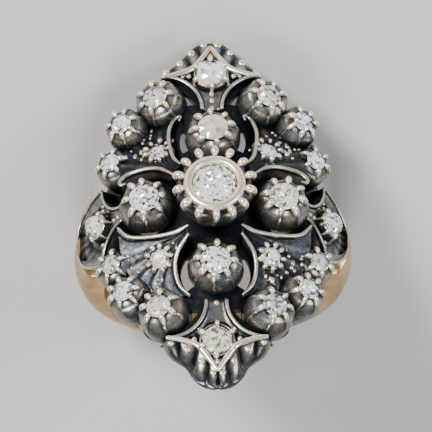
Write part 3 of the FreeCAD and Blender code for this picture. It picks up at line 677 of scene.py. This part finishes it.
def trim_plate(shape, place, rise, kind, form):
    """Cup rim and grains round the stone, and beads on the neck and beside the stone."""
    stone, count = KINDS[kind]
    top = rise - CROWN_SHARE * stone
    outline = flat_line([(stone, top - 0.4), (stone + 0.04, top), (stone + 0.13, top + 0.02),
                         (stone + 0.24, top - 0.15), (stone + 0.42, -0.35)], 14)
    # The rim is painted bright along its top and dark below it: painted highlight and painted
    # shade
    lathe(shape, outline, 64, lambda i, _: 0.6 if 3 < i < 9 else 0.2, place, ring=True)
    path = [(stone - 0.13, top + 0.12), (stone + 0.04, top + 0.2), (stone + 0.2, top + 0.1),
            (stone + 0.34, top - 0.15), (stone + 0.5, -0.3)]
    for i in range(count):
        angle = math.tau * i / count + math.pi / count + random.uniform(-0.08, 0.08)
        fat = random.uniform(0.85, 1.1)
        radii = [r * fat for r in (0.08, 0.2, 0.22, 0.14, 0.04)]
        grain(shape, place, angle, path, radii, 12, 10, 1.0, 1.0)
    beads = PLATE_BEADS if form == "bottom" else PLATE_BEADS + NECK_BEADS
    for x, y, size in beads:
        bead(shape, place, (x, y, -0.18), size * random.uniform(0.9, 1.1), (1, 1.1, 0.9), 0.85, 8)


# Floor of the head and the gold backing under it, pierced beside the large collets

# First quarter of each outline
FLOOR = ((0.0, 12.2), (3.0, 10.4), (4.2, 9.7), (5.4, 8.3), (6.3, 7.0), (7.2, 5.6), (8.0, 4.2),
         (8.4, 2.6), (8.6, 0.0))
BACKING = ((0.0, 11.6), (3.4, 10.8), (4.9, 10.1), (5.7, 8.7), (6.2, 7.0), (6.6, 5.2),
           (6.9, 3.6), (7.7, 2.4), (8.5, 0.0))
# Inside radius, outside radius and half length of each curved sheet
FLOOR_PIPE = (SILVER_INSIDE, 9.35, 15)
BACKING_PIPE = (8.4, 8.8, 10.6)
OUTLINE_LOW = 2.6  # heights between which outlines and gaps are cut
GAP_LOW = 3
CUT_HIGH = 16
GAP_INSIDE = 1.31  # inner radius of the gaps round a collet's foot
WIDER = 0.35  # gaps in the backing against those in the floor
OPEN_BACK = 0.4  # opening behind a stone as a share of the stone's radius
WELL_DEPTH = 8.0
OPEN_BACKS = ("centre", "large", "leaf", "second")
WELD = 0.0005  # points closer than this after the cuts become one


def whole(quarter):
    """All four quarters of an outline given as its first one."""
    right = list(quarter) + [(x, -y) for x, y in reversed(quarter[:-1])]
    return right + [(-x, y) for x, y in reversed(right[1:-1])]


def temporary(mesh_maker, name):
    """Object for a boolean, removed once it has been used."""
    bm = bmesh.new()
    mesh_maker(bm)
    bmesh.ops.recalc_face_normals(bm, faces=bm.faces)
    mesh = bpy.data.meshes.new(name)
    bm.to_mesh(mesh)
    bm.free()
    return new_object(name, mesh)


def column(name, foot, top):
    """Closed column between two outlines of as many points."""
    def make(bm):
        lower = [bm.verts.new(p) for p in foot]
        upper = [bm.verts.new(p) for p in top]
        bm.faces.new(lower[::-1])
        bm.faces.new(upper)
        for i in range(len(lower)):
            j = (i + 1) % len(lower)
            bm.faces.new((lower[i], lower[j], upper[j], upper[i]))
    return temporary(make, name)


def prism(corners, low):
    return column("prism", [(x, y, low) for x, y in corners],
                  [(x, y, CUT_HIGH) for x, y in corners])


def well(place, radius, sides=24):
    """Round hole down the middle of a setting."""
    turns = [math.tau * k / sides for k in range(sides)]
    return column("well", [place @ turned(t, radius, -WELL_DEPTH) for t in turns],
                  [place @ turned(t, radius, 0.0) for t in turns])


def bow(inner, outer, half_length, steps=120):
    """Half pipe along the finger, open underneath."""
    def make(bm):
        loops = []
        for y in (-half_length, half_length):
            ring = []
            for radius in (outer, inner):
                turns = [math.pi * (0.02 + 0.96 * k / steps) for k in range(steps + 1)]
                if radius == inner:
                    turns.reverse()
                ring += [bm.verts.new((radius * math.cos(t), y, radius * math.sin(t)))
                         for t in turns]
            loops.append(ring)
        near, far = loops
        count = len(near)
        for i in range(count):
            j = (i + 1) % count
            bm.faces.new((near[i], near[j], far[j], far[i]))
        for a in range(steps):
            b = count - 1 - a
            bm.faces.new((near[a], near[a + 1], near[b - 1], near[b]))
            bm.faces.new((far[a], far[b], far[b - 1], far[a + 1]))
    return temporary(make, "bow")


def combine(target, tool, operation):
    """Boolean of the target with a tool that is then removed."""
    change = target.modifiers.new("join", "BOOLEAN")
    change.operation = operation
    change.object = tool
    change.solver = "EXACT"
    graph = bpy.context.evaluated_depsgraph_get()
    mesh = bpy.data.meshes.new_from_object(target.evaluated_get(graph))
    target.modifiers.clear()
    target.data = mesh
    bpy.data.objects.remove(tool)


def sector(cx, cy, outer, middle, swing, steps=20):
    """Outline of a curved gap round a collet's foot. Its middle and half swing are in degrees."""
    start = middle - swing
    stop = middle + swing
    turns = [math.radians(start + (stop - start) * k / steps) for k in range(steps + 1)]
    ring = [(cx + outer * math.cos(t), cy + outer * math.sin(t)) for t in turns]
    return ring + [(cx + GAP_INSIDE * math.cos(t), cy + GAP_INSIDE * math.sin(t))
                   for t in reversed(turns)]


def slots(wider):
    """Pierced gaps beside the large collets and the tips' necks."""
    gaps = []
    for along, outer, swing in ((1, 2.5, 24), (-1, 2.6, 34)):
        for middle in (0, 180):
            gaps.append(sector(0, along * LONG[0], outer + wider, middle, swing + 30 * wider))
        for across in (1, -1):
            corners = [(1.2, 8.95), (2.4, 8.8), (2.2, 10.2)]
            if wider:
                corners = [(0.35, 7.5), (3.5, 7.2), (3.4, 10.7), (1.3, 10.7)]
            gaps.append([(across * x, along * y) for x, y in corners])
    for across in (1, -1):
        for middle in (90, 270):
            gaps.append(sector(across * CROSS[0], 0, 2.6 + 2 * wider, middle, 32 + 60 * wider))
    return gaps


def pierced(name, pipe, outline, wider, backs, material, slot, wear):
    """Curved sheet with gaps, and with openings behind the kinds of stone in backs."""
    shell = bow(*pipe)
    combine(shell, prism(whole(outline), OUTLINE_LOW), "INTERSECT")
    for gap in slots(wider):
        combine(shell, prism(gap, GAP_LOW), "DIFFERENCE")
    for _, kind, place in settings():
        if kind in backs:
            combine(shell, well(place, OPEN_BACK * KINDS[kind][0]), "DIFFERENCE")
    bm = bmesh.new()
    bm.from_mesh(shell.data)
    bmesh.ops.remove_doubles(bm, verts=bm.verts, dist=WELD)
    bm.to_mesh(shell.data)
    bm.free()
    points = [v.co.copy() for v in shell.data.vertices]
    faces = [list(p.vertices) for p in shell.data.polygons]
    bpy.data.objects.remove(shell)
    shape = Shape()
    shape.polygons(points, faces, wear)
    return shape.build(name, material, slot, smooth=False)


# Gold hoop: its outside is centred above the finger's axis, so the band is thin at the back

RISE = 1.3  # centre of the outside above the finger's axis
ROUND = 10.6  # radius of the outside
CROWN = 3.6  # radius of the domed outside across the band
BACK_HALF = 1.45  # half width of the band at the back and at the shoulders
SHOULDER_HALF = 2.5
SHOULDER_LEVEL = 3.4  # height where the shoulders reach their full width
MID_RADIUS = 10.0  # where the height of a section is taken
SOFT_WIDTH = 0.14  # softened edges of the outside, in from the sides and down
SOFT_DEPTH = 0.16
BEVEL = 0.12  # bevel of the inside's edges
HOOP_TURN = 109  # degrees from the back to where the full section ends
SEAT_START = 107  # thinned shoulder under the silver: first degree, swing and outside
SEAT_SWING = 28
SEAT_OUTSIDE = 9.3
HOOP_STEPS = 180
SEAT_STEPS = 20


def outside(turn, y):
    """Distance from the finger's axis to the outside of the hoop."""
    reach = ROUND - CROWN + math.sqrt(CROWN ** 2 - y ** 2)
    up = -math.cos(turn)
    return RISE * up + math.sqrt(reach ** 2 - RISE ** 2 * (1 - up ** 2))


def half_width(height):
    share = (height + ROUND) / (SHOULDER_LEVEL + ROUND)
    return BACK_HALF + (SHOULDER_HALF - BACK_HALF) * min(max(share, 0.0), 1.0)


def hoop_section(turn, cap=None):
    """Closed section of the hoop at one turn from the back, with its outside at cap if given."""
    way = Vector((math.sin(turn), 0, -math.cos(turn)))
    half = half_width(MID_RADIUS * way.z)
    flat = half - SOFT_WIDTH
    ys = [-half + SOFT_WIDTH] + [half * (2 * k / 14 - 1) for k in range(1, 14)] + [flat]

    def at(far, y):
        return way * far + Vector((0, y, 0))

    points = []
    for y in ys:
        far = cap if cap else outside(turn, y)
        if abs(abs(y) - flat) < 1e-6:
            far -= 0.02
        points.append(at(far, y))
    far = (cap if cap else outside(turn, half)) - SOFT_DEPTH
    low = FINGER + BEVEL
    return points + [at(far, half), at(low, half), at(FINGER, half - BEVEL), at(FINGER, 0),
                     at(FINGER, BEVEL - half), at(low, -half), at(far, -half)]


def make_hoop():
    """Finger hoop and the thinned ends of its shoulders."""
    shape = Shape()
    last = math.radians(HOOP_TURN)
    turns = [last * (2 * k / HOOP_STEPS - 1) for k in range(HOOP_STEPS + 1)]
    shape.grid([hoop_section(t) for t in turns], 0.5)
    for sign in (1, -1):
        turns = [sign * math.radians(SEAT_START + SEAT_SWING * k / SEAT_STEPS)
                 for k in range(SEAT_STEPS + 1)]
        rows = [hoop_section(t, SEAT_OUTSIDE) for t in turns]
        shape.grid(rows[::sign], 0.5)
    return shape.build("gold_hoop", GOLD, "gold")


# Cut stones

# All in shares of the stone's radius
GIRDLE_FOOT = 0.30
CULET = 0.9
LOOSE = 0.05  # how far the old cut is uneven
TALL = {"side": 0.55, "tip": 0.2}  # how far the table of a kind is lifted


def cut_stone(shape, radius, place, square, tall):
    """Old cut: table, stars, kites and girdle facets over a plain pavilion."""
    def ring(count, far, height, shift=0.0):
        points = []
        for k in range(count):
            angle = math.tau * (k + shift) / count
            reach = far
            if square:
                reach *= 0.97 / (abs(math.cos(angle)) ** 5 + abs(math.sin(angle)) ** 5) ** 0.2
            jog = random.uniform(-LOOSE, LOOSE) * far
            points.append((radius * (reach + jog) * math.cos(angle),
                           radius * (reach + jog) * math.sin(angle),
                           radius * (height + random.uniform(-LOOSE, LOOSE) * 0.25)))
        return points
    table = ring(8, 0.56, tall, 0.5)
    middle = ring(8, 0.82, -0.10 + 0.7 * tall)
    girdle = [(p[0], p[1], -CROWN_SHARE * radius) for p in ring(16, 1.0, -CROWN_SHARE)]
    foot = [(p[0], p[1], -GIRDLE_FOOT * radius) for p in girdle]
    points = table + middle + girdle + foot + [(0, 0, -CULET * radius)]
    faces = [list(range(8))]
    for k in range(8):
        after = (k + 1) % 8
        before = (k - 1) % 8
        faces += [[before, 8 + k, k], [k, 8 + k, 16 + 2 * k + 1], [k, 16 + 2 * k + 1, 8 + after],
                  [8 + k, 16 + 2 * k, 16 + 2 * k + 1],
                  [8 + k, 16 + (2 * k - 1) % 16, 16 + 2 * k]]
    for k in range(16):
        after = (k + 1) % 16
        faces.append([16 + k, 32 + k, 32 + after, 16 + after])
        faces.append([32 + k, 48, 32 + after])
    shape.polygons(points, faces, 0.0, place)


# Materials

def new_material(name):
    material = bpy.data.materials.new(name)
    material.use_nodes = True
    tree = material.node_tree
    return material, tree, tree.nodes["Principled BSDF"]


def feed(tree, item, values):
    """Give inputs of a node values or outputs of others, or set the node's own settings."""
    for key, value in values.items():
        if key not in item.inputs:
            setattr(item, key, value)
        elif isinstance(value, bpy.types.NodeSocket):
            tree.links.new(value, item.inputs[key])
        else:
            item.inputs[key].default_value = value
    return item


def node(tree, kind, **values):
    return feed(tree, tree.nodes.new(kind), values)


def noise(tree, size_mm, detail=4.0, rough=0.55):
    place = node(tree, "ShaderNodeTexCoord").outputs["Object"]
    return node(tree, "ShaderNodeTexNoise", Vector=place, Scale=1.0 / (size_mm * MM),
                Detail=detail, Roughness=rough).outputs["Fac"]


def arith(tree, kind, first, second, clamp=False):
    """Arithmetic on two numbers or outputs."""
    item = node(tree, "ShaderNodeMath", operation=kind, use_clamp=clamp)
    for slot, value in zip(item.inputs, (first, second)):
        if isinstance(value, (int, float)):
            slot.default_value = value
        else:
            tree.links.new(value, slot)
    return item.outputs[0]


def ramp(tree, source, stops):
    item = node(tree, "ShaderNodeValToRGB", Fac=source)
    while len(item.color_ramp.elements) < len(stops):
        item.color_ramp.elements.new(0.5)
    for element, (position, colour) in zip(item.color_ramp.elements, stops):
        element.position = position
        element.color = (*colour, 1)
    return item.outputs["Color"]


def relief(tree, shader, height, strength, deep_mm):
    bump = node(tree, "ShaderNodeBump", Strength=strength, Distance=deep_mm * MM, Height=height)
    tree.links.new(bump.outputs["Normal"], shader.inputs["Normal"])


def silver(name, shift, rough, grain_depth=0.22):
    """Silver, black-blue in the hollows and warm white where it stands out. The colour holds
    rubbed brightness together with painted highlights and painted shade, darkened further as
    painted shade where an occlusion node finds hollows and corners.
    """
    material, tree, shader = new_material(name)
    worn_and_lit = node(tree, "ShaderNodeAttribute", attribute_name="wear").outputs["Fac"]
    # Occlusion darkens the colour in hollows, creases and between parts: painted shade
    hollow = node(tree, "ShaderNodeAmbientOcclusion", Distance=0.8 * MM, samples=6).outputs["AO"]
    mottle = noise(tree, 0.5, 6.0, 0.65)
    fine = noise(tree, 0.12, 3.0)
    shade = arith(tree, "MULTIPLY", arith(tree, "SUBTRACT", 1.0, hollow), 0.36)
    level = arith(tree, "SUBTRACT", worn_and_lit, shade)
    spread = arith(tree, "MULTIPLY", arith(tree, "SUBTRACT", mottle, 0.5), 0.6)
    level = arith(tree, "ADD", level, spread)
    level = arith(tree, "ADD", level, shift, clamp=True)
    # The ramp turns that level into colour, from black-blue in painted shade to warm white in
    # painted highlight
    colour = ramp(tree, level, ((0.0, (0.010, 0.012, 0.017)), (0.14, (0.055, 0.06, 0.068)),
                                (0.34, (0.17, 0.172, 0.17)), (0.62, (0.52, 0.48, 0.42)),
                                (0.92, (1.0, 0.885, 0.735))))
    tint = ramp(tree, noise(tree, 1.1, 3.0), ((0.36, (0.88, 0.96, 1.06)), (0.5, (1.0, 1.0, 1.0)),
                                              (0.64, (1.1, 0.99, 0.86))))
    # Inputs 6 and 7 and output 2 are the colour sockets
    mixed = node(tree, "ShaderNodeMix", data_type="RGBA", blend_type="MULTIPLY", Factor=1.0)
    tree.links.new(colour, mixed.inputs[6])
    tree.links.new(tint, mixed.inputs[7])
    dull = arith(tree, "ADD", arith(tree, "MULTIPLY", fine, 0.25), rough - 0.12)
    feed(tree, shader, {"Base Color": mixed.outputs[2], "Metallic": 0.85, "Roughness": dull})
    relief(tree, shader, noise(tree, 0.22, 5.0, 0.6), grain_depth, 0.04)
    return material


def gold():
    """Worn gold, paler in patches."""
    material, tree, shader = new_material("worn_gold")
    patches = noise(tree, 2.2, 4.0)
    colour = ramp(tree, patches, ((0.3, (0.42, 0.26, 0.11)), (0.5, (0.60, 0.39, 0.18)),
                                  (0.72, (0.74, 0.52, 0.28))))
    dull = arith(tree, "ADD", arith(tree, "MULTIPLY", noise(tree, 0.4, 4.0), 0.25), 0.2)
    feed(tree, shader, {"Base Color": colour, "Metallic": 1.0, "Roughness": dull})
    relief(tree, shader, noise(tree, 0.35, 5.0), 0.12, 0.03)
    return material


def diamond(name, light, dark, cell_mm=0.3, tilt=0.9, flecks=0.6):
    """Cut stone seen as many small mirrors, each inner facet turned its own way, with the facets'
    reflections painted into its colour as light and dark cells.
    """
    material, tree, shader = new_material(name)
    place = node(tree, "ShaderNodeTexCoord").outputs["Object"]
    # Light and dark cells, cloud and dark lines between the cells paint the stone's inner
    # reflections into its colour: painted reflection
    cells = node(tree, "ShaderNodeTexVoronoi", Vector=place,
                 Scale=1.0 / (cell_mm * MM)).outputs["Color"]
    split = node(tree, "ShaderNodeSeparateColor", Color=cells)
    cloud = noise(tree, 0.11, 5.0, 0.75)
    level = arith(tree, "ADD", arith(tree, "MULTIPLY", split.outputs[0], 0.55),
                  arith(tree, "MULTIPLY", cloud, 0.45))
    net = node(tree, "ShaderNodeTexVoronoi", feature="DISTANCE_TO_EDGE", Vector=place,
               Scale=0.8 / (cell_mm * MM))
    lines = arith(tree, "MULTIPLY", net.outputs["Distance"], 7.0, clamp=True)
    fleck = arith(tree, "ADD", arith(tree, "MULTIPLY", lines, flecks), 1 - flecks)
    level = arith(tree, "MULTIPLY", level, fleck, clamp=True)
    middle = tuple((a + b) / 2 for a, b in zip(light, dark))
    colour = ramp(tree, level, ((0.2, dark), (0.27, middle), (0.34, light),
                                (0.5, tuple(min(1.0, 1.14 * c) for c in light))))
    centred = node(tree, "ShaderNodeVectorMath", operation="SUBTRACT", Vector=cells)
    centred.inputs[1].default_value = (0.5, 0.5, 0.5)
    scaled = node(tree, "ShaderNodeVectorMath", operation="SCALE", Vector=centred.outputs[0],
                  Scale=tilt)
    surface = node(tree, "ShaderNodeNewGeometry").outputs["Normal"]
    added = node(tree, "ShaderNodeVectorMath", operation="ADD", Vector=surface)
    tree.links.new(scaled.outputs[0], added.inputs[1])
    final = node(tree, "ShaderNodeVectorMath", operation="NORMALIZE", Vector=added.outputs[0])
    feed(tree, shader, {"Base Color": colour, "Normal": final.outputs[0], "Metallic": 0.15,
                        "Roughness": 0.12, "IOR": 2.4, "Coat Weight": 0.6,
                        "Coat Roughness": 0.03})
    return material


# Three copies of one silver, lifted or lowered as a whole: the plates' and floor's copy darker as
# painted shade, the grains', rims' and collar's copy brighter, rubbed and painted with light
SILVER_CUP = silver("silver_cups", 0.0, 0.28)
SILVER_SHADED = silver("silver_shaded", -0.04, 0.34, 0.5)
SILVER_RUBBED_AND_LIT = silver("silver_rubbed_and_lit", 0.12, 0.3, 0.3)
GOLD = gold()
CLEAR = diamond("diamond_clear", (0.90, 0.91, 0.92), (0.02, 0.024, 0.03), 0.24)
BLUISH = diamond("diamond_cool", (0.78, 0.84, 0.90), (0.07, 0.09, 0.12))
BEIGE = diamond("diamond_cloudy", (0.66, 0.60, 0.53), (0.34, 0.30, 0.26), 0.5, 0.3, 0.1)
ICE = diamond("diamond_ice", (0.88, 0.90, 0.92), (0.22, 0.24, 0.27), 0.6, 0.5, 0.35)
YELLOW = diamond("diamond_warm", (0.80, 0.80, 0.64), (0.10, 0.11, 0.07))
GREY = diamond("diamond_grey", (0.66, 0.66, 0.64), (0.07, 0.07, 0.07))

# Stones that aren't listed are clear
TINTS = {"long_stone_top": BEIGE, "tip_stone_top": ICE, "cross_stone_right": YELLOW,
         "tip_stone_bottom": YELLOW}
for _, along, corner in QUADRANTS:
    for number, tint in enumerate((GREY, BLUISH, BLUISH if along > 0 else GREY), start=1):
        TINTS[f"outer_stone_{corner}_{number}"] = tint
SQUARE_STONE = "tip_stone_top"


# Building

def build_head():
    cups, grains, plates, rims, collar, ends = (Shape() for _ in range(6))
    centre_cup(cups, collar)
    for name, kind, place in settings():
        if kind in COLLETS:
            offset = random.uniform(0, math.tau / KINDS[kind][1])
            collet(cups, kind, place, offset)
            claws(grains, kind, place, offset)
        if kind in PLATES:
            form = name.rsplit("_", 1)[1]
            plate(plates, ends, place, kind, form)
    for across, along, _ in QUADRANTS:
        leaf(plates, rims, across, along)
        leaf_trim(grains, across, along)
    for shape in (cups, plates, rims, grains):
        shape.clear_bore(CUPS_INSIDE)
    ends.clear_bore(TIPS_INSIDE)
    made = [shape.build(name, material, "silver") for shape, name, material in (
        (cups, "head_cups", SILVER_CUP), (grains, "head_grains", SILVER_RUBBED_AND_LIT),
        (plates, "head_plates", SILVER_SHADED), (rims, "head_rims", SILVER_RUBBED_AND_LIT),
        (collar, "head_collar", SILVER_RUBBED_AND_LIT), (ends, "head_points", SILVER_CUP))]
    made.append(pierced("head_floor", FLOOR_PIPE, FLOOR, 0.0, (), SILVER_SHADED, "silver",
                        UNDERSIDE))
    for piece in made:
        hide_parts("head")


def build_shank():
    hoop = make_hoop()
    backing = pierced("gold_backing", BACKING_PIPE, BACKING, WIDER, OPEN_BACKS, GOLD, "gold", 0.5)
    for piece in (hoop, backing):
        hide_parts("shank")


def build_stones():
    for name, kind, place in settings():
        square = name == SQUARE_STONE
        if not square:
            place = place @ Matrix.Rotation(random.uniform(0, 1), 4, "Z")
        shape = Shape()
        cut_stone(shape, KINDS[kind][0], place, square, TALL.get(kind, 0.0))
        piece = shape.build(f"cut_{name}", TINTS.get(name, CLEAR), "stones", smooth=False)
        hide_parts(name)


build_head()
build_shank()
build_stones()


# Floor, lights and camera

def stage_floor():
    material, tree, shader = new_material("floor")
    feed(tree, shader, {"Base Color": (0.56, 0.56, 0.55, 1), "Roughness": 0.9})
    mesh = bpy.data.meshes.new("floor")
    far = 1.5
    corners = [(-far, -far, 0), (far, -far, 0), (far, far, 0), (-far, far, 0)]
    mesh.from_pydata(corners, [], [(0, 1, 2, 3)])
    mesh.materials.append(material)
    obj = new_object("floor", mesh)


def light(name, place, target, size, power, colour):
    """Round area light aimed at the target."""
    data = bpy.data.lights.new(name, "AREA")
    data.shape = "DISK"
    data.size = size
    data.energy = power
    data.color = colour
    obj = new_object(name, data)
    obj.location = place
    obj.rotation_euler = (target - place).to_track_quat("-Z", "Y").to_euler()


def set_world(strength):
    world = bpy.data.worlds.new("studio")
    world.use_nodes = True
    tree = world.node_tree
    feed(tree, tree.nodes["Background"], {"Color": (0.82, 0.86, 0.92, 1), "Strength": strength})
    bpy.context.scene.world = world


TILT = math.radians(30)  # from the head's own upright toward the lower tip
YAW = math.radians(1.1)
ROLL = math.radians(0.7)
FAR = 400.0  # mm from the camera to its target
FIELD = 32.24  # mm across the picture at the target
OFF_RIGHT = 0.104  # target from the centre stone's table, in the picture's plane
OFF_UP = -2.563
SENSOR = 36


def set_camera():
    """Camera at the photo's angle. Gives the table's place and the picture's three directions."""
    right = Vector((1, 0, 0))
    up = Vector((0, math.cos(TILT), math.sin(TILT)))
    back = Vector((0, -math.sin(TILT), math.cos(TILT)))
    right, back = (right * math.cos(YAW) + back * math.sin(YAW),
                   back * math.cos(YAW) - right * math.sin(YAW))
    right, up = (right * math.cos(ROLL) - up * math.sin(ROLL),
                 right * math.sin(ROLL) + up * math.cos(ROLL))
    target = Vector((0, 0, TABLE)) + right * OFF_RIGHT + up * OFF_UP
    turn = RING.to_3x3() * (1 / MM)
    data = bpy.data.cameras.new("camera")
    data.sensor_width = SENSOR
    data.lens = SENSOR * FAR / FIELD
    data.clip_start = 0.01
    data.clip_end = 10
    camera = new_object("camera", data)
    camera.matrix_world = axes_at(turn @ right, turn @ up, turn @ back,
                                  RING @ (target + back * FAR))
    bpy.context.scene.camera = camera
    return RING @ Vector((0, 0, TABLE)), turn @ right, turn @ up, turn @ back


stage_floor()
middle, image_right, image_up, image_back = set_camera()
light("key", middle + image_back * 0.35 + image_up * 0.16 - image_right * 0.2, middle,
      0.13, 3.0, (1, 0.96, 0.91))
light("fill", middle + image_back * 0.3 + image_right * 0.32 + image_up * 0.05, middle,
      0.2, 1.2, (0.92, 0.96, 1))
light("low", middle + image_back * 0.25 - image_up * 0.3, middle,
      0.16, 0.9, (1, 0.98, 0.95))
set_world(0.22)
